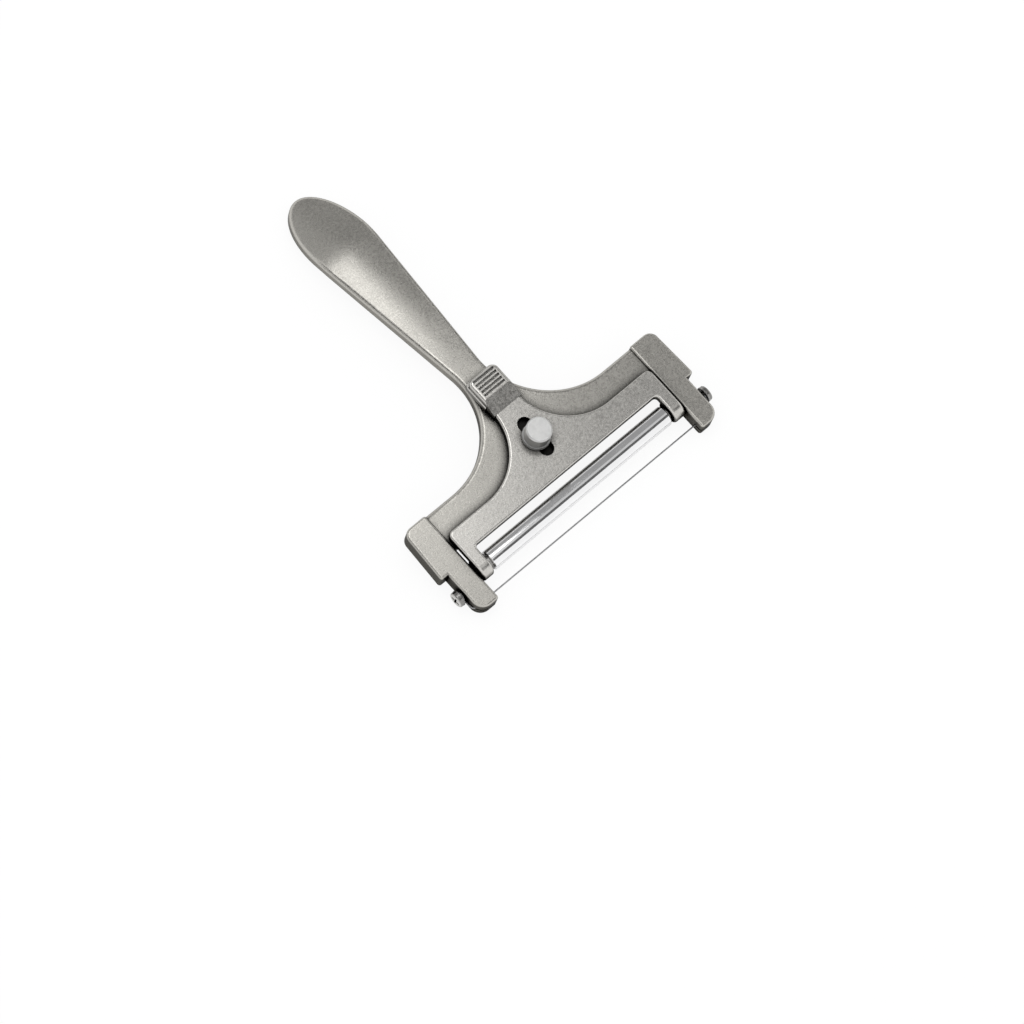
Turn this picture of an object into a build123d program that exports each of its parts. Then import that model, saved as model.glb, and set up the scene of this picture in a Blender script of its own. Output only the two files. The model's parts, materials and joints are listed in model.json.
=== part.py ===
from build123d import *
import math
import os

# Adjustable wire cheese slicer, in millimetres.
# A cast frame holds a taut wire between two end blocks. A plate slides on the frame
# and carries a roller, so that the gap from roller to wire sets the slice.
# The pieces are drawn in the frame of the head: X runs along the wire, Y goes from
# the wire to the handle, Z goes up through the clamp knob, and the origin lies under
# the middle of the wire, on the plane of the block undersides. At the end they are
# tipped back together, so that the slicer stands on its two block tips and the handle.

# Wire
wire_diameter = 0.6
wire_height = 4.2
wire_gap = 0.05
wire_seat_radius = 1.0
coil_half_turns = 2
coil_pitch = 0.7

# End blocks
mouth_half_width = 50.3
block_width = 11.9
block_back_width = 10.9
tip_width = 8.7
block_front = 3.2
block_back = 37.0
block_height = 8.4
notch_y = 14.8
tip_radius = 4.7
tip_inner_radius = 1.1
block_back_radius = 3.6
block_corner_radius = 1.1
block_edge_radius = 1.0
slit_height = 1.0
groove_depth = 0.8
groove_end = 4.6

# Frame: web, arms and handle, all one casting with the blocks
web_front = 20.6
web_bottom = 1.0
web_top = 7.4
arm_back = 36.6
arm_arc_radius = 31.0
neck_half_width = 6.0
arm_end_overlap = 2.0
handle_taper = 5.7
handle_half_width = 12.4
handle_shoulder_radius = 70.0
handle_end_length = 24.6
handle_droop = 6.6
handle_bend_y = 48.0
handle_bend_reach = 6.0
handle_crown = 1.0
handle_crown_front = 50.0
handle_crown_back = 120.0
handle_thickness = 6.5
handle_end_droop = 13.0
handle_end_bend_y = 135.0
handle_end_bend_reach = 5.0
underside_bend_radius = 20.0
frame_edge_radius = 1.6
top_grid_step = 5.0
top_tolerance = 0.01

# Slide plate
plate_gap = 0.2
plate_thickness = 3.0
plate_front = 16.6
plate_back = 26.2
plate_arc_radius = 24.0
plate_neck_half_width = 6.0
plate_corner_radius = 2.4
plate_inner_radius = 1.4
plate_side_gap = 0.6
plate_edge_radius = 0.9
leg_width = 5.0
axle_recess = 0.25

# Thumb pad on the slide plate
pad_half_width = 7.0
pad_top_half_width = 6.6
pad_front = 54.7
pad_back = 64.4
pad_shoulder_y = 52.6
pad_height = 2.6
pad_slope_length = 6.4
pad_back_step = 0.7
pad_corner_radius = 2.2
pad_edge_radius = 1.2
rib_count = 5
rib_pitch = 1.55
rib_groove_width = 0.85
rib_groove_depth = 0.5
rib_groove_half_length = 4.9

# Slot, stud, washer and clamp knob
slot_width = 5.7
slot_front = 24.4
slot_back = 42.0
stud_diameter = 5.0
stud_y = 33.0
stud_flange_diameter = 8.0
stud_flange_thickness = 1.6
stud_tip_depth = 1.6
stud_tip_chamfer = 0.4
knob_bore_room = 0.3
knob_clearance = 0.05
knob_diameter = 9.8
knob_base_diameter = 10.4
knob_height = 7.9
knob_rim_chamfer = 0.6
knob_base_height = 1.0
washer_diameter = 10.8
washer_thickness = 0.6
washer_gap = 0.1

# Roller
roller_diameter = 8.0
roller_wall = 0.6
roller_y = 9.65
roller_height = 6.0
roller_end_gap = 1.2
roller_end_chamfer = 0.3
plug_length = 7.0
plug_collar_diameter = 4.6
plug_collar_gap = 0.35
axle_diameter = 2.4
axle_clearance = 0.05
axle_end_chamfer = 0.2

# Tension screws
screw_y = 6.5
screw_diameter = 3.0
screw_clearance = 0.05
screw_depth = 5.6
screw_hole_room = 0.4
screw_head_diameter = 6.2
screw_head_height = 1.5
screw_head_radius = 0.7
cross_width = 0.85
cross_length = 3.8
cross_depth = 0.9
screw_washer_diameter = 6.4
screw_washer_thickness = 0.4
screw_gap = 0.05

# Sizes worked out from those above
tip_outer = mouth_half_width + tip_width
wire_radius = wire_diameter / 2
wire_offset = wire_radius + wire_gap
coil_radius = screw_diameter / 2 + wire_offset
coil_rise = math.asin(coil_radius / screw_y)
coil_end = tip_outer + wire_offset + coil_half_turns * coil_pitch / 2 + wire_radius
screw_washer_x = coil_end + screw_gap
screw_head_x = screw_washer_x + screw_washer_thickness + screw_gap
plate_bottom = web_top + plate_gap
plate_top = plate_bottom + plate_thickness
leg_outer = mouth_half_width - plate_side_gap
leg_inner = leg_outer - leg_width
roller_half = leg_inner - roller_end_gap
washer_bottom = plate_top + washer_gap
knob_bottom = washer_bottom + washer_thickness + washer_gap
knob_top = knob_bottom + knob_height
arm_arc_x = neck_half_width + arm_arc_radius
arm_arc_y = arm_back + arm_arc_radius
taper = math.radians(handle_taper)
neck_x = arm_arc_x - arm_arc_radius * math.cos(taper)
neck_y = arm_arc_y + arm_arc_radius * math.sin(taper)
shoulder_x = handle_half_width - handle_shoulder_radius * (1 - math.cos(taper))
shoulder_y = neck_y + (shoulder_x - neck_x) / math.tan(taper)
widest_y = shoulder_y + handle_shoulder_radius * math.sin(taper)
handle_end_y = widest_y + handle_end_length
droop = math.radians(handle_droop)
end_slope = math.radians(handle_droop + handle_end_droop)


def nearest(shape, x, y):
    """The vertex of a flat face that lies nearest to a point."""
    return shape.vertices().sort_by_distance(Vector(x, y, 0))[0]


def mirrored(shape):
    """The same shape on the other side of the slicer."""
    return mirror(shape, about=Plane.YZ)


def tube_along_x(radius, start, end, y, z):
    """A cylinder along X between two stations."""
    place = Plane(origin=(start, y, z), z_dir=(1, 0, 0))
    return extrude(place * Circle(radius), amount=end - start)


def tube_along_z(radius, start, end, y):
    """A cylinder along Z between two heights, on the middle of the slicer."""
    return extrude(Plane(origin=(0, y, start)) * Circle(radius), amount=end - start)


def block_outline():
    """Plan of the right end block: narrow tip, notch step and wide back."""
    outer = mouth_half_width + block_width
    back_outer = mouth_half_width + block_back_width
    face = make_face(Polyline(
        (mouth_half_width, -block_front),
        (tip_outer, -block_front),
        (tip_outer, notch_y),
        (outer, notch_y),
        (back_outer, block_back),
        (mouth_half_width, block_back),
        close=True,
    ))
    face = fillet(nearest(face, tip_outer, -block_front), tip_radius)
    face = fillet(nearest(face, mouth_half_width, -block_front), tip_inner_radius)
    face = fillet(nearest(face, back_outer, block_back), block_back_radius)
    face = fillet(nearest(face, outer, notch_y), block_corner_radius)
    return fillet(nearest(face, mouth_half_width, block_back), block_corner_radius)


def wire_slit():
    """Saw cut through the tip of the right block, with a rounded seat for the wire."""
    past = tip_width
    seat_x = tip_outer - wire_seat_radius
    seat_y = wire_offset + wire_seat_radius
    outline = [
        Polyline(
            (tip_outer, seat_y),
            (tip_outer + past, seat_y),
            (tip_outer + past, -block_front - past),
            (mouth_half_width - past, -block_front - past),
            (mouth_half_width - past, wire_offset),
            (seat_x, wire_offset),
        ),
        CenterArc((seat_x, seat_y), wire_seat_radius, -90, 90),
    ]
    face = make_face(outline)
    floor = wire_height - slit_height / 2
    return extrude(Pos(0, 0, floor) * face, amount=slit_height)


def wire_groove(roll):
    """Groove in the outer side of the right tip, which follows the wire up or down to its screw."""
    groove = Pos(0, groove_end / 2, 0) * Box(2 * groove_depth, groove_end, slit_height)
    return Pos(tip_outer, 0, wire_height) * Rot(math.degrees(roll * coil_rise), 0, 0) * groove


def end_block(roll):
    """Right end block, with the slit for the wire and the hole for its tension screw."""
    block = extrude(block_outline(), amount=block_height)
    rims = block.edges().group_by(Axis.Z)
    block = fillet(rims[-1] + rims[0], block_edge_radius)
    hole_radius = screw_diameter / 2 + screw_clearance
    hole_start = tip_outer - screw_depth - screw_hole_room
    block = block - wire_slit() - wire_groove(roll)
    return block - tube_along_x(hole_radius, hole_start, coil_end, screw_y, wire_height)


def frame_outline():
    """Plan of web, arms and handle, drawn on the right half and mirrored."""
    arm_end = mouth_half_width + arm_end_overlap
    shoulder_centre = (handle_half_width - handle_shoulder_radius, widest_y)
    half = [
        Polyline((0, web_front), (arm_end, web_front), (arm_end, arm_back), (arm_arc_x, arm_back)),
        CenterArc((arm_arc_x, arm_arc_y), arm_arc_radius, -90, -90 - handle_taper),
        Line((neck_x, neck_y), (shoulder_x, shoulder_y)),
        CenterArc(shoulder_centre, handle_shoulder_radius, -handle_taper, handle_taper),
        EllipticalCenterArc((0, widest_y), handle_half_width, handle_end_length, arc_size=90),
        Line((0, handle_end_y), (0, web_front)),
    ]
    right = make_face(half)
    return right + mirrored(right)


def soft_bend(past, reach):
    """Run past a bend that is rounded over a reach on both sides of it."""
    if past > reach:
        return past
    return max(past + reach, 0) ** 2 / (4 * reach)


def top_height(x, y):
    """Height of the frame's top: flat web, drooping crowned handle and steeper end."""
    droop_run = soft_bend(y - handle_bend_y, handle_bend_reach)
    end_run = soft_bend(y - handle_end_bend_y, handle_end_bend_reach)
    share = (y - handle_crown_front) / (handle_crown_back - handle_crown_front)
    share = min(max(share, 0), 1)
    crown = handle_crown * share ** 2 * (3 - 2 * share) * (1 - math.cos(math.pi * x / handle_half_width / 2))
    fall = droop_run * math.tan(droop) + end_run * (math.tan(end_slope) - math.tan(droop))
    return web_top - fall - crown


def under_top():
    """The space under the frame's top, which is one smooth surface."""
    head = web_front - web_top
    rows = math.ceil((handle_end_y + web_top - head) / top_grid_step)
    columns = math.ceil(tip_outer / top_grid_step)
    points = []
    for column in range(-columns, columns + 1):
        x = column * top_grid_step
        stations = [head + row * top_grid_step for row in range(rows + 1)]
        points.append([Vector(x, y, top_height(x, y)) for y in stations])
    top = Face.make_surface_from_array_of_points(points, tol=top_tolerance, min_deg=3, max_deg=5)
    return extrude(top, amount=handle_end_y, dir=(0, 0, -1))


def underside_bends():
    """The two bends of the underside, where it leaves the web and where the end steepens, as (y, z)."""
    web_wall = web_top - web_bottom
    handle_wall = handle_thickness / math.cos(droop)
    end_wall = handle_thickness / math.cos(end_slope)
    first_y = handle_bend_y - (handle_wall - web_wall) / math.tan(droop)
    second_y = handle_end_bend_y - (end_wall - handle_wall) / (math.tan(end_slope) - math.tan(droop))
    return (first_y, web_bottom), (second_y, web_bottom - (second_y - first_y) * math.tan(droop))


def end_underside_height(y):
    """Height of the underside of the handle's steeper end at a station."""
    bend_y, bend_z = underside_bends()[1]
    return bend_z - (y - bend_y) * math.tan(end_slope)


def above_underside():
    """The space over the frame's underside: flat web, drooping handle, steeper end."""
    head = web_front - web_top
    past = handle_end_y + web_top
    web_bend, end_bend = underside_bends()
    side = make_face(Polyline(
        (head, block_height),
        (head, web_bottom),
        web_bend,
        end_bend,
        (past, end_underside_height(past)),
        (past, block_height),
        close=True,
    ))
    for bend in (web_bend, end_bend):
        side = fillet(nearest(side, *bend), underside_bend_radius)
    return extrude(Plane.YZ * side, amount=tip_outer, both=True)


def rim_edges(shape):
    """Edges between the side walls of the frame and its top or underside."""
    rims = []
    for edge in shape.edges():
        start, finish = edge @ 0, edge @ 1
        middle = edge.center()
        upright = abs(start.X - finish.X) + abs(start.Y - finish.Y) < 0.01
        bend = abs(start.Y - finish.Y) < 0.01 and web_front < middle.Y - 0.01 and abs(middle.X) < 0.01
        at_block = abs(middle.X) > mouth_half_width
        if not (upright or bend or at_block):
            rims.append(edge)
    return rims


def frame_casting():
    """Web, arms and handle in one piece with both end blocks, with the hole for the stud."""
    reach = 2 * handle_end_y
    column = extrude(Pos(0, 0, -reach / 2) * frame_outline(), amount=reach, dir=(0, 0, 1))
    body = column & under_top() & above_underside()
    body = fillet(rim_edges(body), frame_edge_radius)
    body = body + end_block(1) + mirrored(end_block(-1))
    flange_top = web_bottom + stud_flange_thickness
    body = body - tube_along_z(stud_flange_diameter / 2, 0, flange_top, stud_y)
    return body - tube_along_z(stud_diameter / 2, 0, block_height, stud_y)


def plate_outline():
    """Plan of the slide plate without its slot: legs in front, pad flange at the back."""
    arc_x = plate_neck_half_width + plate_arc_radius
    arc_y = plate_back + plate_arc_radius
    right = make_face([
        Polyline(
            (plate_neck_half_width, arc_y),
            (plate_neck_half_width, pad_shoulder_y),
            (pad_half_width, pad_shoulder_y),
            (pad_half_width, pad_back),
            (0, pad_back),
            (0, plate_front),
            (leg_inner, plate_front),
            (leg_inner, roller_y),
            (leg_outer, roller_y),
            (leg_outer, plate_back),
            (arc_x, plate_back),
        ),
        CenterArc((arc_x, arc_y), plate_arc_radius, -90, -90),
    ])
    right = fillet(nearest(right, leg_inner, plate_front), plate_inner_radius)
    right = fillet(nearest(right, leg_outer, plate_back), plate_corner_radius)
    right = fillet(nearest(right, pad_half_width, pad_back), pad_corner_radius)
    return right + mirrored(right)


def thumb_pad():
    """Raised pad with a steep front slope and ribs across its top, inside a rim."""
    top = plate_top + pad_height
    root = plate_bottom + plate_thickness / 2
    profile = make_face(Polyline(
        (pad_front - pad_slope_length, root),
        (pad_front - pad_slope_length, plate_top),
        (pad_front, top),
        (pad_back - pad_back_step, top),
        (pad_back - pad_back_step, root),
        close=True,
    ))
    pad = extrude(Plane.YZ * profile, amount=pad_top_half_width, both=True)
    corners = pad.edges().filter_by(Axis.Z).group_by(Axis.Y)[-1]
    pad = fillet(corners, pad_corner_radius)
    pad = fillet(pad.faces().sort_by(Axis.Z)[-1].edges(), pad_edge_radius)
    middle = (pad_front + pad_back - pad_back_step) / 2
    for index in range(rib_count):
        y = middle + (index - (rib_count - 1) / 2) * rib_pitch
        groove = Box(2 * rib_groove_half_length, rib_groove_width, 2 * rib_groove_depth)
        pad = pad - Pos(0, y, top) * groove
    return pad


def leg_nose():
    """Rounded end of the right leg: a barrel about the axle, as high as the plate."""
    barrel = tube_along_x(plate_top - roller_height, leg_inner, leg_outer, roller_y, roller_height)
    rims = barrel.edges().group_by(Axis.X)
    return fillet(rims[0] + rims[-1], plate_edge_radius)


def slide_plate():
    """Plate with slot, thumb pad and two legs, which end in noses bored for the axle."""
    plate = extrude(Pos(0, 0, plate_bottom) * plate_outline(), amount=plate_thickness, dir=(0, 0, 1))
    rims = plate.faces().sort_by(Axis.Z)[-1].edges()
    plate = fillet([rim for rim in rims if rim.center().Y > roller_y + 0.01], plate_edge_radius)
    plate = plate + leg_nose() + mirrored(leg_nose()) + thumb_pad()
    slot = Plane(origin=(0, (slot_front + slot_back) / 2, plate_bottom - 1)) * SlotOverall(
        slot_back - slot_front, slot_width, rotation=90
    )
    plate = plate - extrude(slot, amount=plate_thickness + 2)
    return plate - tube_along_x(axle_diameter / 2, -leg_outer - 1, leg_outer + 1, roller_y, roller_height)


def roller_axle():
    """Pin pressed into both legs."""
    half = leg_outer - axle_recess
    pin = tube_along_x(axle_diameter / 2, -half, half, roller_y, roller_height)
    rims = pin.edges().group_by(Axis.X)
    return chamfer(rims[0] + rims[-1], axle_end_chamfer)


def roller_tube():
    """Polished tube that rolls over the cheese."""
    radius = roller_diameter / 2
    tube = tube_along_x(radius, -roller_half, roller_half, roller_y, roller_height)
    rims = tube.edges().group_by(Axis.X)
    tube = chamfer(rims[0] + rims[-1], roller_end_chamfer)
    return tube - tube_along_x(radius - roller_wall, -roller_half, roller_half, roller_y, roller_height)


def roller_plug():
    """Right bearing plug: pressed into the tube, with a collar towards the leg."""
    radius = roller_diameter / 2 - roller_wall
    start = roller_half - plug_length
    plug = tube_along_x(radius, start, roller_half, roller_y, roller_height)
    collar_end = leg_inner - plug_collar_gap
    plug = plug + tube_along_x(plug_collar_diameter / 2, start, collar_end, roller_y, roller_height)
    bore = axle_diameter / 2 + axle_clearance
    return plug - tube_along_x(bore, start - 1, leg_inner, roller_y, roller_height)


def wire_point(side, roll, x, along, across):
    """A point of the wire: along and across are measured in the plane of the coil."""
    y = along * math.cos(coil_rise) - across * math.sin(coil_rise)
    z = along * math.sin(coil_rise) + across * math.cos(coil_rise)
    return Vector(side * x, y, wire_height + roll * z)


def wire_end_path(side, roll):
    """Edges of one wire end: round its seat, up to the screw and half turns about it."""
    bend = wire_seat_radius + wire_offset
    bend_x = tip_outer - wire_seat_radius
    diagonal = math.sqrt(0.5)
    coil_x = bend_x + bend
    start_along = screw_y * math.cos(coil_rise)
    edges = [ThreePointArc(
        wire_point(side, roll, bend_x, 0, 0),
        wire_point(side, roll, bend_x + bend * diagonal, bend * (1 - diagonal), 0),
        wire_point(side, roll, coil_x, bend, 0),
    )]
    edges.append(Line(
        wire_point(side, roll, coil_x, bend, 0),
        wire_point(side, roll, coil_x, start_along, 0),
    ))
    step = coil_pitch / 2
    for index in range(coil_half_turns):
        forth = 1 if index % 2 == 0 else -1
        first = 0 if forth == 1 else -2 * coil_radius
        last = -2 * coil_radius if forth == 1 else 0
        x = coil_x + index * step
        reach = math.hypot(2 * coil_radius, step) / 2
        edges.append(ThreePointArc(
            wire_point(side, roll, x, start_along, first),
            wire_point(side, roll, x + step / 2, start_along + forth * reach, -coil_radius),
            wire_point(side, roll, x + step, start_along, last),
        ))
    return edges


def cutting_wire():
    """One wire: over the right screw, straight across the mouth, under the left screw."""
    straight = tip_outer - wire_seat_radius
    edges = wire_end_path(1, 1) + wire_end_path(-1, -1)
    edges.append(Line((-straight, 0, wire_height), (straight, 0, wire_height)))
    path = Wire([edge for part in edges for edge in part.edges()])
    start = path @ 0
    section = Plane(origin=start, z_dir=path % 0) * Circle(wire_radius)
    return sweep(section, path=path)


def tension_screw():
    """Right tension screw with a domed head and a cross recess."""
    shank = tube_along_x(screw_diameter / 2, tip_outer - screw_depth, screw_head_x, screw_y, wire_height)
    face_x = screw_head_x + screw_head_height
    head = tube_along_x(screw_head_diameter / 2, screw_head_x, face_x, screw_y, wire_height)
    head = fillet(head.edges().group_by(Axis.X)[-1], screw_head_radius)
    place = Pos(face_x, screw_y, wire_height)
    cross = place * Box(2 * cross_depth, cross_length, cross_width)
    cross = cross + place * Box(2 * cross_depth, cross_width, cross_length)
    return shank + head - cross


def screw_washer():
    """Right washer between the wound wire and the screw head."""
    end = screw_washer_x + screw_washer_thickness
    disc = tube_along_x(screw_washer_diameter / 2, screw_washer_x, end, screw_y, wire_height)
    bore = screw_diameter / 2 + screw_clearance
    return disc - tube_along_x(bore, screw_washer_x, end, screw_y, wire_height)


def clamp_stud():
    """Stud with a flange, pressed into the web from below."""
    flange_top = web_bottom + stud_flange_thickness
    flange = tube_along_z(stud_flange_diameter / 2, web_bottom, flange_top, stud_y)
    shank = tube_along_z(stud_diameter / 2, web_bottom, knob_top - stud_tip_depth, stud_y)
    return flange + chamfer(shank.edges().group_by(Axis.Z)[-1], stud_tip_chamfer)


def clamp_washer():
    """Washer between the plate and the knob."""
    top = washer_bottom + washer_thickness
    disc = tube_along_z(washer_diameter / 2, washer_bottom, top, stud_y)
    return disc - tube_along_z(stud_diameter / 2 + knob_clearance, washer_bottom, top, stud_y)


def clamp_knob():
    """Round knob with a slightly wider foot and a blind bore for the stud."""
    foot = tube_along_z(knob_base_diameter / 2, knob_bottom, knob_bottom + knob_base_height, stud_y)
    drum = tube_along_z(knob_diameter / 2, knob_bottom, knob_top, stud_y)
    drum = chamfer(drum.edges().group_by(Axis.Z)[-1], knob_rim_chamfer)
    bore_top = knob_top - stud_tip_depth + knob_bore_room
    bore = tube_along_z(stud_diameter / 2 + knob_clearance, knob_bottom, bore_top, stud_y)
    return foot + drum - bore


def standing_rounds():
    """Centres of the two roundings that the slicer stands on, under tips and handle, as (y, z)."""
    back_y = handle_end_y - frame_edge_radius
    back_z = end_underside_height(back_y) + frame_edge_radius / math.cos(end_slope)
    return (block_edge_radius - block_front, block_edge_radius), (back_y, back_z)


def stand_pitch():
    """Angle that tips the head back until block tips and handle touch one plane."""
    (front_y, front_z), (back_y, back_z) = standing_rounds()
    across = math.hypot(back_y - front_y, back_z - front_z)
    slope = math.atan2(back_z - front_z, back_y - front_y)
    return math.asin((frame_edge_radius - block_edge_radius) / across) - slope


def stand_lift(pitch):
    """Move that puts the middle of the tipped slicer's footprint at the origin."""
    (front_y, front_z), (back_y, back_z) = standing_rounds()
    top_z = block_height - block_edge_radius
    foremost = front_y * math.cos(pitch) - top_z * math.sin(pitch) - block_edge_radius
    hindmost = back_y * math.cos(pitch) - back_z * math.sin(pitch) + frame_edge_radius
    lowest = front_y * math.sin(pitch) + front_z * math.cos(pitch) - block_edge_radius
    return Pos(0, -(foremost + hindmost) / 2, -lowest)


pieces = {
    "frame_casting": frame_casting(),
    "slide_plate": slide_plate(),
    "roller_tube": roller_tube(),
    "roller_plug_right": roller_plug(),
    "roller_plug_left": mirrored(roller_plug()),
    "roller_axle": roller_axle(),
    "cutting_wire": cutting_wire(),
    "tension_screw_right": tension_screw(),
    "tension_screw_left": mirrored(tension_screw()),
    "screw_washer_right": screw_washer(),
    "screw_washer_left": mirrored(screw_washer()),
    "clamp_stud": clamp_stud(),
    "clamp_washer": clamp_washer(),
    "clamp_knob": clamp_knob(),
}

# Tip the slicer onto its tips and handle, then put the middle of its footprint at the origin.
pitch = stand_pitch()
lift = stand_lift(pitch)
place = lift * Rot(math.degrees(pitch), 0, 0)

os.makedirs("parts", exist_ok=True)
for name, piece in pieces.items():
    export_step(place * piece, "parts/" + name + ".step")
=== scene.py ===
import json
import math

import bmesh
import bpy
from bpy.props import FloatProperty, FloatVectorProperty, PointerProperty
from mathutils import Matrix, Vector


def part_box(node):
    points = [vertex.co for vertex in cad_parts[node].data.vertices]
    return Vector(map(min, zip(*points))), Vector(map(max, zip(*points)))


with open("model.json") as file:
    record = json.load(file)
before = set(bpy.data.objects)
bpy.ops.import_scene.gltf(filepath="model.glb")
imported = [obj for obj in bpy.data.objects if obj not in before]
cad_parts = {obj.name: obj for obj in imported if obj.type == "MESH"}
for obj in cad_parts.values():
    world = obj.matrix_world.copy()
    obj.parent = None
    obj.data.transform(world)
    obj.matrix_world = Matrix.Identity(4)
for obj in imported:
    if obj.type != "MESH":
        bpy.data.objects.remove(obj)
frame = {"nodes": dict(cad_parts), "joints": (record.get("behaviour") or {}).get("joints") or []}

bl_info = {
    "name": "Wire cheese slicer",
    "version": (1, 0, 0),
    "blender": (4, 5, 0),
    "location": "View3D > Sidebar > Slicer",
    "description": "Finishes and studio for an adjustable wire cheese slicer",
    "category": "Object",
}

PHOTO_SIDE = 1024

# Studio over the slicer, in metres from the middle of its footprint
RIG_TOP = 0.6
BOX_LEFT, BOX_RIGHT = -0.13, 0.158
BOX_FRONT, BOX_BACK = -0.025, 0.27
SIDE_END = 0.65
ROLLER_FRONT, ROLLER_BACK = -0.31, -0.14

# Cards that the metal mirrors: name, two opposite corners and the setting that holds its grey
CARDS = (
    ("side_card", (BOX_RIGHT, ROLLER_BACK, RIG_TOP), (SIDE_END, 0.9, RIG_TOP), "side_grey"),
    ("roller_card", (BOX_RIGHT, ROLLER_FRONT, RIG_TOP), (SIDE_END, ROLLER_BACK, RIG_TOP), "roller_grey"),
    ("rim_card", (-0.30, -0.1, RIG_TOP), (BOX_LEFT, BOX_BACK, RIG_TOP), "rim_glow"),
    ("near_card", (-0.14, -0.4, RIG_TOP), (BOX_RIGHT, BOX_FRONT, RIG_TOP), "near_grey"),
    ("far_card", (-0.14, BOX_BACK, RIG_TOP), (BOX_RIGHT, 0.8, RIG_TOP), "far_grey"),
    ("back_card", (-0.5, 0.8, 0.42), (1.2, 0.8, 0.9), "back_grey"),
    ("front_card", (0.05, -0.72, RIG_TOP), (0.42, ROLLER_FRONT, RIG_TOP), "front_grey"),
    ("left_card", (-0.9, -0.03, RIG_TOP), (-0.30, 0.45, RIG_TOP), "low_grey"),
    ("left_low_card", (-1.3, 0.20, 0.12), (-1.3, 0.65, 0.42), "low_grey"),
    ("right_card", (0.9, 0.05, 0.02), (0.9, 0.42, 0.5), "low_grey"),
)


# Sizes and colours

class SlicerCast(bpy.types.PropertyGroup):
    """Finish of the cast frame and the cast slide plate, with painted shade on walls, in recesses and under
    the slot, and a painted highlight on edges.
    """

    frame_colour: FloatVectorProperty(
        name="Frame metal", description="Colour of the cast frame",
        subtype="COLOR", size=4, min=0, max=1, default=(0.50, 0.485, 0.45, 1))
    plate_colour: FloatVectorProperty(
        name="Plate metal", description="Colour of the slide plate",
        subtype="COLOR", size=4, min=0, max=1, default=(0.60, 0.585, 0.555, 1))
    frame_roughness: FloatProperty(
        name="Frame roughness", description="Mean roughness of the frame", min=0, max=1, default=0.28)
    plate_roughness: FloatProperty(
        name="Plate roughness", description="Mean roughness of the plate", min=0, max=1, default=0.25)
    mottle_size: FloatProperty(
        name="Mottle size", description="Width of the cloudy patches of the tumbled skin",
        unit="LENGTH", default=0.0009)
    pit_size: FloatProperty(
        name="Pit size", description="Distance between the fine pits of the casting",
        unit="LENGTH", default=0.0003)
    # Brighter edges: partly real wear, partly a painted highlight along the rims
    edge_width: FloatProperty(
        name="Edge width", description="How far from an edge the casting is rubbed bright",
        unit="LENGTH", default=0.0005)
    # Reach of the painted shade that darkens the casting's corners, gaps and grooves
    recess_reach: FloatProperty(
        name="Recess reach", description="How far out of a corner or gap its grime reaches",
        unit="LENGTH", default=0.004)
    relief: FloatProperty(
        name="Relief", description="Height of the bumps of the tumbled skin", unit="LENGTH", default=0.00004)
    # Painted shade on the side walls: the handle's walls keep most of the colour, the head's walls are
    # painted darker
    handle_wall_shade: FloatProperty(
        name="Handle wall shade", description="Brightness of the handle's side walls, beside its rubbed top",
        min=0, max=1, default=0.9)
    head_wall_shade: FloatProperty(
        name="Head wall shade", description="Brightness of the duller side walls of arms, blocks and plate",
        min=0, max=1, default=0.42)
    edge_tint: FloatVectorProperty(
        name="Edge tint", description="Share of light that dull metal still mirrors at a grazing angle",
        subtype="COLOR", size=4, min=0, max=1, default=(0.28, 0.28, 0.28, 1))
    # Where the head's darker painted wall shade gives way to the handle's lighter one
    wall_change: FloatVectorProperty(
        name="Wall change",
        description="Stations along Y where the head's dull walls end and the handle's begin",
        subtype="TRANSLATION", size=2, default=(-0.030, -0.005))
    # Painted shade under the slot: an ellipsoid of the frame's top beneath the plate's slot is painted near
    # black
    slot_floor: FloatVectorProperty(
        name="Slot floor",
        description="Half width, half length and half height of the dark zone under the slot",
        subtype="TRANSLATION", size=3, default=(0.0046, 0.0135, 0.002))
    slot_floor_depth: FloatProperty(
        name="Slot floor depth", description="From the foot of the knob down to the frame's top",
        unit="LENGTH", default=0.004)


class SlicerSteel(bpy.types.PropertyGroup):
    """Finish of the steel pieces."""

    roller_colour: FloatVectorProperty(
        name="Roller", description="Colour of the plated roller",
        subtype="COLOR", size=4, min=0, max=1, default=(0.90, 0.90, 0.905, 1))
    wire_colour: FloatVectorProperty(
        name="Wire", description="Colour of the drawn wire",
        subtype="COLOR", size=4, min=0, max=1, default=(0.36, 0.36, 0.365, 1))
    screw_colour: FloatVectorProperty(
        name="Screws", description="Colour of screws, washers and axle",
        subtype="COLOR", size=4, min=0, max=1, default=(0.62, 0.61, 0.59, 1))
    knob_colour: FloatVectorProperty(
        name="Knob", description="Colour of the clamp knob",
        subtype="COLOR", size=4, min=0, max=1, default=(0.78, 0.78, 0.77, 1))
    turning_pitch: FloatProperty(
        name="Turning pitch", description="Distance between the fine lines left by the lathe",
        unit="LENGTH", default=0.00022)
    turning_depth: FloatProperty(
        name="Turning depth", description="Height of the lathe lines and clouds", unit="LENGTH",
        default=0.000012)
    cloud_size: FloatProperty(
        name="Cloud size", description="Width of the soft clouds on turned pieces",
        unit="LENGTH", default=0.0016)
    edge_width: FloatProperty(
        name="Edge width", description="How far from an edge turned pieces are worn",
        unit="LENGTH", default=0.0003)
    # Reach of the painted shade in the corners and gaps of turned pieces
    recess_reach: FloatProperty(
        name="Recess reach", description="How far out of a corner or gap its grime reaches",
        unit="LENGTH", default=0.002)
    smear_size: FloatProperty(
        name="Smear size", description="Width of the faint smears on polished pieces",
        unit="LENGTH", default=0.006)
    scratch_depth: FloatProperty(
        name="Scratch depth", description="Depth of the fine polishing lines",
        unit="LENGTH", default=0.000004)


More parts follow.
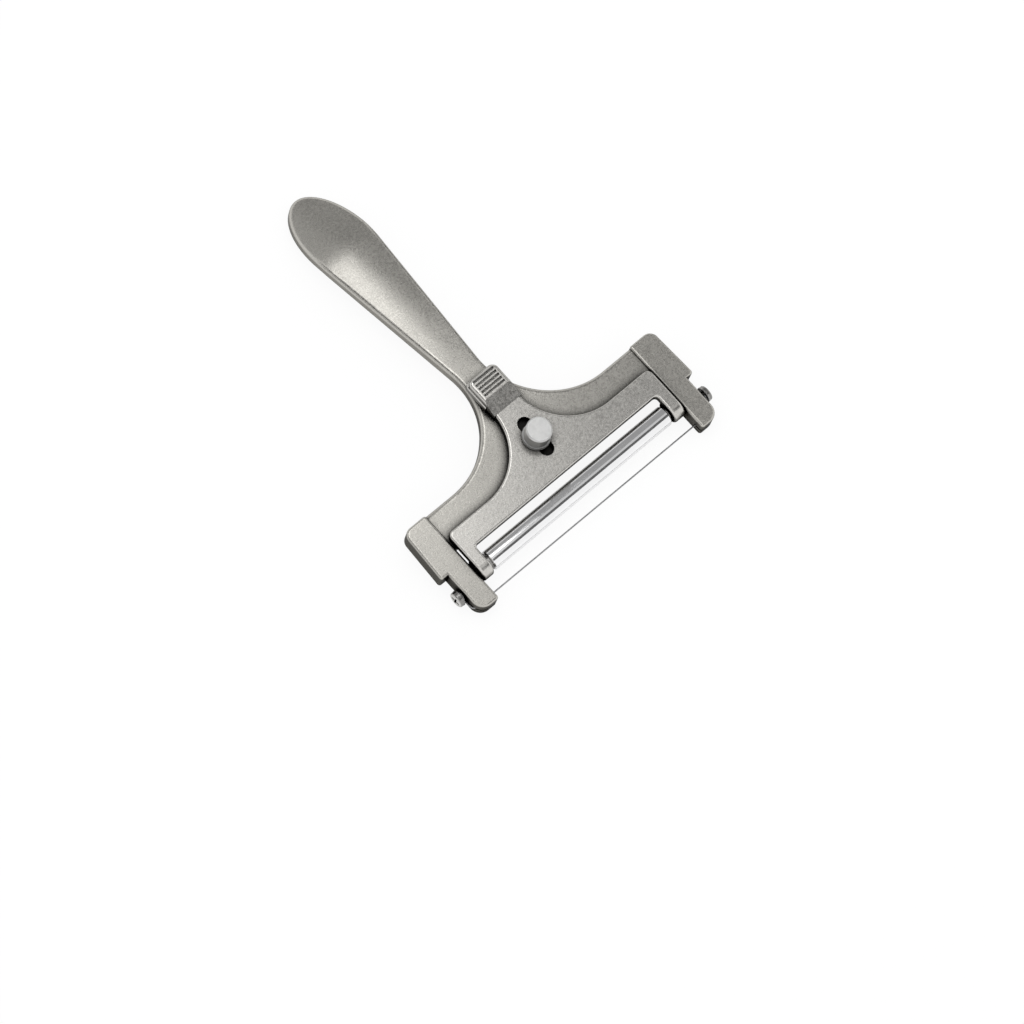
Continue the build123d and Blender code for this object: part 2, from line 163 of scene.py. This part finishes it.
class SlicerStage(bpy.types.PropertyGroup):
    """Camera, soft box, cards and floor."""

    azimuth: FloatProperty(
        name="Azimuth", description="Direction of the camera from +X",
        subtype="ANGLE", default=math.radians(219.21))
    elevation: FloatProperty(
        name="Elevation", description="Height of the camera over the floor",
        subtype="ANGLE", default=math.radians(67.16))
    roll: FloatProperty(
        name="Roll", description="Turn of the camera about its own axis",
        subtype="ANGLE", default=math.radians(8.87))
    aim: FloatVectorProperty(
        name="Aim", description="Floor point in the middle of the picture",
        subtype="TRANSLATION", size=3, default=(-0.02184, -0.05963, 0))
    distance: FloatProperty(
        name="Distance", description="From the aim to the camera", unit="LENGTH", default=2.33)
    photo_scale: FloatProperty(
        name="Photo scale", description="Pixels of the photograph to one metre at the aim",
        default=2760)
    floor_side: FloatProperty(
        name="Floor side", description="Side of the square floor", unit="LENGTH", default=4.0)
    floor_glow: FloatProperty(
        name="Floor glow", description="Share of plain white in the floor, beside its lit paint",
        min=0, max=1, default=0.9)
    floor_mirror: FloatProperty(
        name="Floor in the metal", description="Share of plain white in the floor as the metal mirrors it",
        min=0, max=1, default=0.35)
    softbox_glow: FloatProperty(
        name="Soft box glow", description="Brightness of the soft box, where white is 1",
        min=0, default=1.45)
    side_grey: FloatProperty(
        name="Side grey", description="Grey of the card beside the soft box", min=0, max=1, default=0.33)
    roller_grey: FloatProperty(
        name="Roller grey", description="Grey of the card that the front of the roller mirrors",
        min=0, max=1, default=0.60)
    rim_glow: FloatProperty(
        name="Rim glow", description="Brightness of the card that draws bright left edges",
        min=0, default=1.2)
    near_grey: FloatProperty(
        name="Near grey", description="Grey of the card in front of the soft box", min=0, max=1, default=0.78)
    far_grey: FloatProperty(
        name="Far grey", description="Grey of the card behind the soft box", min=0, max=1, default=0.55)
    back_grey: FloatProperty(
        name="Back grey", description="Grey of the card behind the handle's end", min=0, max=1, default=0.40)
    front_grey: FloatProperty(
        name="Front grey", description="Grey of the dark card over the wire", min=0, max=1, default=0.12)
    low_grey: FloatProperty(
        name="Low grey", description="Grey of the low cards that draw dark edge lines",
        min=0, max=1, default=0.04)


# Node materials

def node_tree(name):
    """A new material's tree, its shader and its Object coordinates."""
    material = bpy.data.materials.new(name)
    material.use_nodes = True
    tree = material.node_tree
    shader = tree.nodes["Principled BSDF"]
    coordinates = tree.nodes.new("ShaderNodeTexCoord")
    return material, tree, shader, coordinates.outputs["Object"]


def noise(tree, vector, size, detail=3.0, stretch=(1, 1, 1)):
    """Noise whose features are about size metres wide, stretched along the axes."""
    mapping = tree.nodes.new("ShaderNodeMapping")
    mapping.inputs["Scale"].default_value = stretch
    tree.links.new(vector, mapping.inputs["Vector"])
    texture = tree.nodes.new("ShaderNodeTexNoise")
    texture.inputs["Scale"].default_value = 1 / size
    texture.inputs["Detail"].default_value = detail
    tree.links.new(mapping.outputs["Vector"], texture.inputs["Vector"])
    return texture.outputs["Fac"]


def spread(tree, value, low, high, start=0.0, end=1.0):
    """A value taken from one range to another, clamped."""
    node = tree.nodes.new("ShaderNodeMapRange")
    node.inputs["From Min"].default_value = low
    node.inputs["From Max"].default_value = high
    node.inputs["To Min"].default_value = start
    node.inputs["To Max"].default_value = end
    tree.links.new(value, node.inputs["Value"])
    return node.outputs["Result"]


def calculate(tree, operation, first, second):
    """Math node of two values; either may be a number."""
    node = tree.nodes.new("ShaderNodeMath")
    node.operation = operation
    for socket, value in zip(node.inputs, (first, second)):
        if isinstance(value, (int, float)):
            socket.default_value = value
        else:
            tree.links.new(value, socket)
    return node.outputs["Value"]


def blend_colours(tree, share, first, second):
    """Mix of two colours; either may be an RGBA tuple or a socket."""
    node = tree.nodes.new("ShaderNodeMix")
    node.data_type = "RGBA"
    tree.links.new(share, node.inputs[0])
    for socket, colour in ((node.inputs[6], first), (node.inputs[7], second)):
        if isinstance(colour, bpy.types.NodeSocket):
            tree.links.new(colour, socket)
        else:
            socket.default_value = colour
    return node.outputs[2]


def shaded(colour, factor):
    """The colour made darker or lighter by a factor."""
    return tuple(min(channel * factor, 1) for channel in colour[:3]) + (1,)


def rounded_edges(tree, radius, low, high):
    """Share of wear: 1 where the surface turns within radius, 0 on flat faces."""
    bevel = tree.nodes.new("ShaderNodeBevel")
    bevel.samples = 4
    bevel.inputs["Radius"].default_value = radius
    geometry = tree.nodes.new("ShaderNodeNewGeometry")
    dot = tree.nodes.new("ShaderNodeVectorMath")
    dot.operation = "DOT_PRODUCT"
    tree.links.new(bevel.outputs["Normal"], dot.inputs[0])
    tree.links.new(geometry.outputs["Normal"], dot.inputs[1])
    return spread(tree, dot.outputs["Value"], high, low)


def openness(tree, reach, low, high):
    """0 deep in a recess, 1 on open faces, judged over a reach in metres."""
    occlusion = tree.nodes.new("ShaderNodeAmbientOcclusion")
    occlusion.samples = 8
    occlusion.inputs["Distance"].default_value = reach
    return spread(tree, occlusion.outputs["AO"], low, high)


def facing(tree, tilt, low=0.5, high=0.9):
    """1 on faces square to an axis given as Euler angles, 0 on the sides along it."""
    axis = Vector((0, 0, 1))
    axis.rotate(tilt)
    geometry = tree.nodes.new("ShaderNodeNewGeometry")
    turn = tree.nodes.new("ShaderNodeVectorTransform")
    turn.vector_type = "NORMAL"
    turn.convert_from = "WORLD"
    turn.convert_to = "OBJECT"
    tree.links.new(geometry.outputs["Normal"], turn.inputs["Vector"])
    dot = tree.nodes.new("ShaderNodeVectorMath")
    dot.operation = "DOT_PRODUCT"
    dot.inputs[1].default_value = axis
    tree.links.new(turn.outputs["Vector"], dot.inputs[0])
    return spread(tree, calculate(tree, "ABSOLUTE", dot.outputs["Value"], 0.0), low, high)


def along(tree, place, start, end):
    """0 before a station along Y, 1 past another one."""
    split = tree.nodes.new("ShaderNodeSeparateXYZ")
    tree.links.new(place, split.inputs["Vector"])
    return spread(tree, split.outputs["Y"], start, end)


def outside(tree, place, centre, tilt, radii):
    """0 inside a tilted ellipsoid about a centre, 1 outside it."""
    mapping = tree.nodes.new("ShaderNodeMapping")
    mapping.vector_type = "TEXTURE"
    mapping.inputs["Location"].default_value = centre
    mapping.inputs["Rotation"].default_value = tilt
    mapping.inputs["Scale"].default_value = radii
    tree.links.new(place, mapping.inputs["Vector"])
    length = tree.nodes.new("ShaderNodeVectorMath")
    length.operation = "LENGTH"
    tree.links.new(mapping.outputs["Vector"], length.inputs[0])
    return spread(tree, length.outputs["Value"], 0.9, 1.0)


def bump(tree, shader, height, distance, strength=1.0):
    """Bump from a height that runs from 0 to 1 over distance metres."""
    node = tree.nodes.new("ShaderNodeBump")
    node.inputs["Distance"].default_value = distance
    node.inputs["Strength"].default_value = strength
    tree.links.new(height, node.inputs["Height"])
    tree.links.new(node.outputs["Normal"], shader.inputs["Normal"])


def cast_metal(name, colour, roughness, cast, grain_scale, tilt, slot=None):
    """Tumbled casting: mottled skin, faint pits, edges rubbed bright with a painted highlight, painted shade
    on the side walls, in recesses and under the slot.
    """
    material, tree, shader, place = node_tree(name)
    shader.inputs["Metallic"].default_value = 1.0
    shader.inputs["Specular Tint"].default_value = cast.edge_tint
    clouds = noise(tree, place, cast.mottle_size * grain_scale, detail=4)
    broad = noise(tree, place, cast.mottle_size * grain_scale * 9, detail=2)
    grain = noise(tree, place, cast.pit_size * grain_scale, detail=3)
    pits = spread(tree, grain, 0.30, 0.42)
    wear = rounded_edges(tree, cast.edge_width, 0.90, 0.998)
    dark_cloud, light_cloud, even = shaded(colour, 0.92), shaded(colour, 1.06), shaded(colour, 1.02)
    # The 1.6 copy is for the edges: partly real wear, partly a painted highlight
    pitted, rubbed = shaded(colour, 0.78), shaded(colour, 1.6)
    # Near-black copies of the colour: painted shade for recesses and for the frame's top under the slot
    recess_painted_shade, slot_painted_shade = shaded(colour, 0.05), shaded(colour, 0.03)
    skin = blend_colours(tree, spread(tree, clouds, 0.32, 0.68), dark_cloud, light_cloud)
    skin = blend_colours(tree, spread(tree, broad, 0.35, 0.65), skin, even)
    skin = blend_colours(tree, pits, pitted, skin)
    # Edges get a brighter copy of the colour: partly real wear, partly a painted highlight
    skin = blend_colours(tree, calculate(tree, "MULTIPLY", wear, 0.8), skin, rubbed)
    # Painted shade: side walls get a darker copy of the colour, darker on the head than on the handle
    walls = blend_colours(
        tree, along(tree, place, *cast.wall_change),
        shaded(colour, cast.head_wall_shade), shaded(colour, cast.handle_wall_shade))
    skin = blend_colours(tree, facing(tree, tilt, 0.2, 0.6), walls, skin)
    # Painted shade: corners, gaps and grooves turn near black, where shade falls
    skin = blend_colours(tree, openness(tree, cast.recess_reach, 0.55, 0.95), recess_painted_shade, skin)
    # Painted shade: the frame's top under the slot is painted near black, standing in for the slot's shadow
    if slot:
        skin = blend_colours(tree, outside(tree, place, *slot), slot_painted_shade, skin)
    tree.links.new(skin, shader.inputs["Base Color"])
    varied = spread(tree, clouds, 0.3, 0.7, roughness - 0.05, roughness + 0.06)
    varied = calculate(tree, "ADD", varied, spread(tree, pits, 0.0, 1.0, 0.08, 0.0))
    varied = calculate(tree, "SUBTRACT", varied, calculate(tree, "MULTIPLY", wear, 0.13))
    tree.links.new(varied, shader.inputs["Roughness"])
    height = calculate(tree, "ADD", calculate(tree, "MULTIPLY", grain, 0.35), clouds)
    bump(tree, shader, height, cast.relief, strength=0.45)
    return material


def polished_metal(name, colour, steel, roughness, lines, stretch):
    """Plated or ground metal with fine lines along the way it was polished."""
    material, tree, shader, place = node_tree(name)
    shader.inputs["Metallic"].default_value = 1.0
    scratches = noise(tree, place, lines, detail=3, stretch=stretch)
    smears = noise(tree, place, steel.smear_size, detail=3)
    skin = blend_colours(tree, spread(tree, smears, 0.35, 0.70), shaded(colour, 0.95), colour)
    tree.links.new(skin, shader.inputs["Base Color"])
    varied = calculate(
        tree, "ADD", spread(tree, scratches, 0.4, 0.7, roughness * 0.7, roughness * 1.3),
        spread(tree, smears, 0.45, 0.75, 0.0, roughness * 0.5))
    tree.links.new(varied, shader.inputs["Roughness"])
    bump(tree, shader, scratches, steel.scratch_depth, strength=0.5)
    return material


def turned_metal(name, colour, steel, roughness, centre, tilt):
    """Lathe-turned metal: fine rings about an axis, with soft clouds, worn edges and painted shade on the
    sides and in recesses.
    """
    material, tree, shader, place = node_tree(name)
    shader.inputs["Metallic"].default_value = 1.0
    mapping = tree.nodes.new("ShaderNodeMapping")
    mapping.vector_type = "TEXTURE"
    mapping.inputs["Location"].default_value = centre
    mapping.inputs["Rotation"].default_value = tilt
    tree.links.new(place, mapping.inputs["Vector"])
    rings = tree.nodes.new("ShaderNodeTexWave")
    rings.wave_type = "RINGS"
    rings.rings_direction = "Z"
    rings.inputs["Scale"].default_value = 1 / (steel.turning_pitch * 10)
    rings.inputs["Distortion"].default_value = 0.6
    rings.inputs["Detail"].default_value = 1.0
    tree.links.new(mapping.outputs["Vector"], rings.inputs["Vector"])
    clouds = noise(tree, place, steel.cloud_size, detail=4)
    wear = rounded_edges(tree, steel.edge_width, 0.92, 0.998)
    # The 0.42 and 0.06 copies are painted shade: the first on the sides, the second in recesses
    dark_cloud, side, worn, painted_shade = (shaded(colour, factor) for factor in (0.90, 0.42, 1.25, 0.06))
    skin = blend_colours(tree, spread(tree, clouds, 0.35, 0.65), dark_cloud, colour)
    # Painted shade: faces along the axis, such as a knob's side, get a darker copy of the colour
    skin = blend_colours(tree, facing(tree, tilt), side, skin)
    skin = blend_colours(tree, calculate(tree, "MULTIPLY", wear, 0.6), skin, worn)
    # Painted shade: corners, gaps and crevices turn near black, where shade falls
    skin = blend_colours(tree, openness(tree, steel.recess_reach, 0.35, 0.75), painted_shade, skin)
    tree.links.new(skin, shader.inputs["Base Color"])
    varied = spread(tree, clouds, 0.3, 0.7, roughness - 0.05, roughness + 0.08)
    tree.links.new(varied, shader.inputs["Roughness"])
    height = calculate(tree, "ADD", calculate(tree, "MULTIPLY", rings.outputs["Fac"], 0.6), clouds)
    bump(tree, shader, height, steel.turning_depth, strength=0.6)
    return material


def dress(node, material):
    """Gives a CAD node its material."""
    mesh = frame["nodes"][node].data
    mesh.materials.clear()
    mesh.materials.append(material)


# Pieces of the slicer

def node_centre(node):
    """Middle of a CAD node at rest."""
    low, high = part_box(node)
    return (Vector(low) + Vector(high)) / 2


def joint_of(name):
    """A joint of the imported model."""
    return next(joint for joint in frame["joints"] if joint["name"] == name)


def tilt_to(axis):
    """Euler angles that turn +Z onto an axis."""
    return Vector(axis).to_track_quat("Z", "Y").to_euler()


class SLICER_OT_cast_parts(bpy.types.Operator):
    """Finish the cast frame and the slide plate"""

    bl_idname = "slicer.cast_parts"
    bl_label = "Cast parts"

    def execute(self, context):
        cast = context.scene.slicer_cast
        clamp = joint_of("knob_turn")
        tilt = tilt_to(clamp["axis"])
        # Middle of the painted shade under the slot, a little below the knob's foot
        slot_centre = Vector(clamp["pos_m"]) - cast.slot_floor_depth * Vector(clamp["axis"])
        dress("frame_casting", cast_metal(
            "cast_metal", tuple(cast.frame_colour), cast.frame_roughness, cast,
            grain_scale=1.0, tilt=tilt, slot=(slot_centre, tilt, cast.slot_floor)))
        dress("slide_plate", cast_metal(
            "plate_metal", tuple(cast.plate_colour), cast.plate_roughness, cast,
            grain_scale=1.2, tilt=tilt))
        return {"FINISHED"}


class SLICER_OT_roller(bpy.types.Operator):
    """Finish the roller, its plugs and its axle"""

    bl_idname = "slicer.roller"
    bl_label = "Roller"

    def execute(self, context):
        steel = context.scene.slicer_steel
        dress("roller_tube", polished_metal(
            "roller_metal", tuple(steel.roller_colour), steel,
            roughness=0.09, lines=0.0004, stretch=(0.04, 1, 1)))
        plug = polished_metal(
            "plug_metal", shaded(steel.screw_colour, 0.8), steel,
            roughness=0.35, lines=0.0003, stretch=(1, 0.2, 0.2))
        for side in ("left", "right"):
            dress("roller_plug_" + side, plug)
        dress("roller_axle", polished_metal(
            "axle_metal", tuple(steel.screw_colour), steel,
            roughness=0.25, lines=0.0003, stretch=(1, 0.1, 0.1)))
        return {"FINISHED"}


class SLICER_OT_wire(bpy.types.Operator):
    """Finish the cutting wire"""

    bl_idname = "slicer.wire"
    bl_label = "Cutting wire"

    def execute(self, context):
        steel = context.scene.slicer_steel
        dress("cutting_wire", polished_metal(
            "wire_metal", tuple(steel.wire_colour), steel,
            roughness=0.32, lines=0.0002, stretch=(0.02, 1, 1)))
        return {"FINISHED"}


class SLICER_OT_screws(bpy.types.Operator):
    """Finish the tension screws and their washers"""

    bl_idname = "slicer.screws"
    bl_label = "Tension screws"

    def execute(self, context):
        steel = context.scene.slicer_steel
        for side in ("left", "right"):
            tilt = tilt_to(joint_of(side + "_screw_turn")["axis"])
            dress("tension_screw_" + side, turned_metal(
                "screw_metal_" + side, tuple(steel.screw_colour), steel,
                roughness=0.24, centre=node_centre("tension_screw_" + side), tilt=tilt))
            dress("screw_washer_" + side, turned_metal(
                "washer_metal_" + side, shaded(steel.screw_colour, 0.9), steel,
                roughness=0.3, centre=node_centre("screw_washer_" + side), tilt=tilt))
        return {"FINISHED"}


class SLICER_OT_clamp(bpy.types.Operator):
    """Finish the clamp knob, its washer and its stud"""

    bl_idname = "slicer.clamp"
    bl_label = "Clamp"

    def execute(self, context):
        steel = context.scene.slicer_steel
        tilt = tilt_to(joint_of("knob_turn")["axis"])
        dress("clamp_knob", turned_metal(
            "knob_metal", tuple(steel.knob_colour), steel,
            roughness=0.42, centre=node_centre("clamp_knob"), tilt=tilt))
        dress("clamp_washer", turned_metal(
            "clamp_washer_metal", shaded(steel.screw_colour, 0.8), steel,
            roughness=0.35, centre=node_centre("clamp_washer"), tilt=tilt))
        dress("clamp_stud", turned_metal(
            "stud_metal", shaded(steel.screw_colour, 0.7), steel,
            roughness=0.4, centre=node_centre("clamp_stud"), tilt=tilt))
        return {"FINISHED"}


# Studio

def flat_piece(name, size, place):
    """A flat rectangle of the stage, with its face along its place's +Z."""
    mesh = bpy.data.meshes.new(name)
    shape = bmesh.new()
    bmesh.ops.create_grid(shape, x_segments=1, y_segments=1, size=0.5)
    bmesh.ops.scale(shape, vec=(size[0], size[1], 1), verts=shape.verts)
    bmesh.ops.transform(shape, matrix=place, verts=shape.verts)
    shape.to_mesh(mesh)
    shape.free()
    piece = bpy.data.objects.new(name, mesh)
    bpy.context.scene.collection.objects.link(piece)
    return piece


def aimed(position, target):
    """Placement at a position, with +Z away from the target."""
    away = (Vector(position) - Vector(target)).normalized()
    return Matrix.Translation(position) @ away.to_track_quat("Z", "Y").to_matrix().to_4x4()


def floor_paint(glow, mirror):
    """White paint, partly plain white to the camera and less so to metal, so that soft shadows show."""
    material, tree, shader, place = node_tree("floor_white")
    clouds = noise(tree, place, 0.4, detail=1)
    skin = blend_colours(tree, clouds, (0.97, 0.97, 0.97, 1), (1, 1, 1, 1))
    tree.links.new(skin, shader.inputs["Base Color"])
    shader.inputs["Roughness"].default_value = 1.0
    shader.inputs["Specular IOR Level"].default_value = 0.0
    white = tree.nodes.new("ShaderNodeEmission")
    path = tree.nodes.new("ShaderNodeLightPath")
    mirrored = calculate(tree, "MAXIMUM", path.outputs["Is Glossy Ray"], path.outputs["Is Transmission Ray"])
    mirrored = calculate(tree, "MULTIPLY", mirrored, mirror)
    seen = calculate(tree, "MAXIMUM", path.outputs["Is Camera Ray"], mirrored)
    mix = tree.nodes.new("ShaderNodeMixShader")
    tree.links.new(calculate(tree, "MULTIPLY", seen, glow), mix.inputs["Fac"])
    tree.links.new(shader.outputs["BSDF"], mix.inputs[1])
    tree.links.new(white.outputs["Emission"], mix.inputs[2])
    tree.links.new(mix.outputs["Shader"], tree.nodes["Material Output"].inputs["Surface"])
    return material


def card(name, low, high, grey):
    """An even grey card that only mirror-like surfaces show; low and high are its opposite corners."""
    low, high = Vector(low), Vector(high)
    span = high - low
    thin = min(range(3), key=lambda axis: abs(span[axis]))
    normal = Vector([1.0 if axis == thin else 0.0 for axis in range(3)])
    turn = normal.to_track_quat("Z", "Y").to_matrix().to_4x4()
    local = turn.to_3x3().inverted() @ span
    place = Matrix.Translation((low + high) / 2) @ turn
    piece = flat_piece(name, (abs(local.x), abs(local.y)), place)
    material = bpy.data.materials.new(name)
    material.use_nodes = True
    tree = material.node_tree
    tree.nodes.remove(tree.nodes["Principled BSDF"])
    glow = tree.nodes.new("ShaderNodeEmission")
    glow.inputs["Color"].default_value = (grey, grey, grey, 1)
    tree.links.new(glow.outputs["Emission"], tree.nodes["Material Output"].inputs["Surface"])
    piece.data.materials.append(material)
    piece.visible_camera = False
    piece.visible_diffuse = False
    piece.visible_shadow = False
    return piece


def polar(turn, rise, distance):
    """A point seen from the origin at two angles."""
    return Vector((
        distance * math.cos(rise) * math.cos(turn),
        distance * math.cos(rise) * math.sin(turn),
        distance * math.sin(rise)))


class SLICER_OT_stage(bpy.types.Operator):
    """Set up floor, soft box, cards, world and camera"""

    bl_idname = "slicer.stage"
    bl_label = "Stage"

    def execute(self, context):
        stage = context.scene.slicer_stage
        floor = flat_piece("floor", (stage.floor_side, stage.floor_side), Matrix.Translation((0, 0, 0)))
        floor.data.materials.append(floor_paint(stage.floor_glow, stage.floor_mirror))
        self.rig(context.scene, stage)
        self.world(context.scene)
        self.camera(context.scene, stage)
        context.scene.view_settings.view_transform = "Standard"
        return {"FINISHED"}

    def rig(self, scene, stage):
        """Soft box over the left of the handle, with the cards that the metal mirrors around it."""
        light = bpy.data.lights.new("softbox", "AREA")
        light.shape = "RECTANGLE"
        light.size = BOX_RIGHT - BOX_LEFT
        light.size_y = BOX_BACK - BOX_FRONT
        # Watts that make the face of the light as bright as an emission of softbox_glow
        light.energy = stage.softbox_glow * math.pi * light.size * light.size_y
        piece = bpy.data.objects.new("softbox", light)
        piece.location = ((BOX_LEFT + BOX_RIGHT) / 2, (BOX_FRONT + BOX_BACK) / 2, RIG_TOP)
        scene.collection.objects.link(piece)
        for name, low, high, grey in CARDS:
            card(name, low, high, getattr(stage, grey))

    def world(self, scene):
        """Even white light from all around."""
        world = bpy.data.worlds.new("studio")
        scene.world = world
        world.use_nodes = True
        background = world.node_tree.nodes["Background"]
        background.inputs["Color"].default_value = (1, 1, 1, 1)
        background.inputs["Strength"].default_value = 1.0

    def camera(self, scene, stage):
        """Camera far off, at the photograph's angle and scale."""
        data = bpy.data.cameras.new("camera")
        data.angle = 2 * math.atan(PHOTO_SIDE / stage.photo_scale / 2 / stage.distance)
        data.clip_end = 20
        piece = bpy.data.objects.new("camera", data)
        aim = Vector(stage.aim)
        position = aim + polar(stage.azimuth, stage.elevation, stage.distance)
        piece.matrix_world = aimed(position, aim) @ Matrix.Rotation(stage.roll, 4, "Z")
        scene.collection.objects.link(piece)
        scene.camera = piece


class SLICER_PT_panel(bpy.types.Panel):
    """Lists the steps that finish the slicer"""

    bl_idname = "SLICER_PT_panel"
    bl_label = "Cheese slicer"
    bl_space_type = "VIEW_3D"
    bl_region_type = "UI"
    bl_category = "Slicer"

    def draw(self, context):
        for operator in OPERATORS:
            self.layout.operator(operator.bl_idname)


GROUPS = {"slicer_cast": SlicerCast, "slicer_steel": SlicerSteel, "slicer_stage": SlicerStage}
OPERATORS = (
    SLICER_OT_cast_parts,
    SLICER_OT_roller,
    SLICER_OT_wire,
    SLICER_OT_screws,
    SLICER_OT_clamp,
    SLICER_OT_stage,
)
CLASSES = tuple(GROUPS.values()) + OPERATORS + (SLICER_PT_panel,)


def register():
    for cls in CLASSES:
        bpy.utils.register_class(cls)
    for name, group in GROUPS.items():
        setattr(bpy.types.Scene, name, PointerProperty(type=group))


def unregister():
    for name in GROUPS:
        delattr(bpy.types.Scene, name)
    for cls in reversed(CLASSES):
        bpy.utils.unregister_class(cls)


def main():
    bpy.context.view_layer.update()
    register()
    bpy.ops.slicer.cast_parts()
    bpy.ops.slicer.roller()
    bpy.ops.slicer.wire()
    bpy.ops.slicer.screws()
    bpy.ops.slicer.clamp()
    bpy.ops.slicer.stage()


if __name__ == "__main__":
    main()
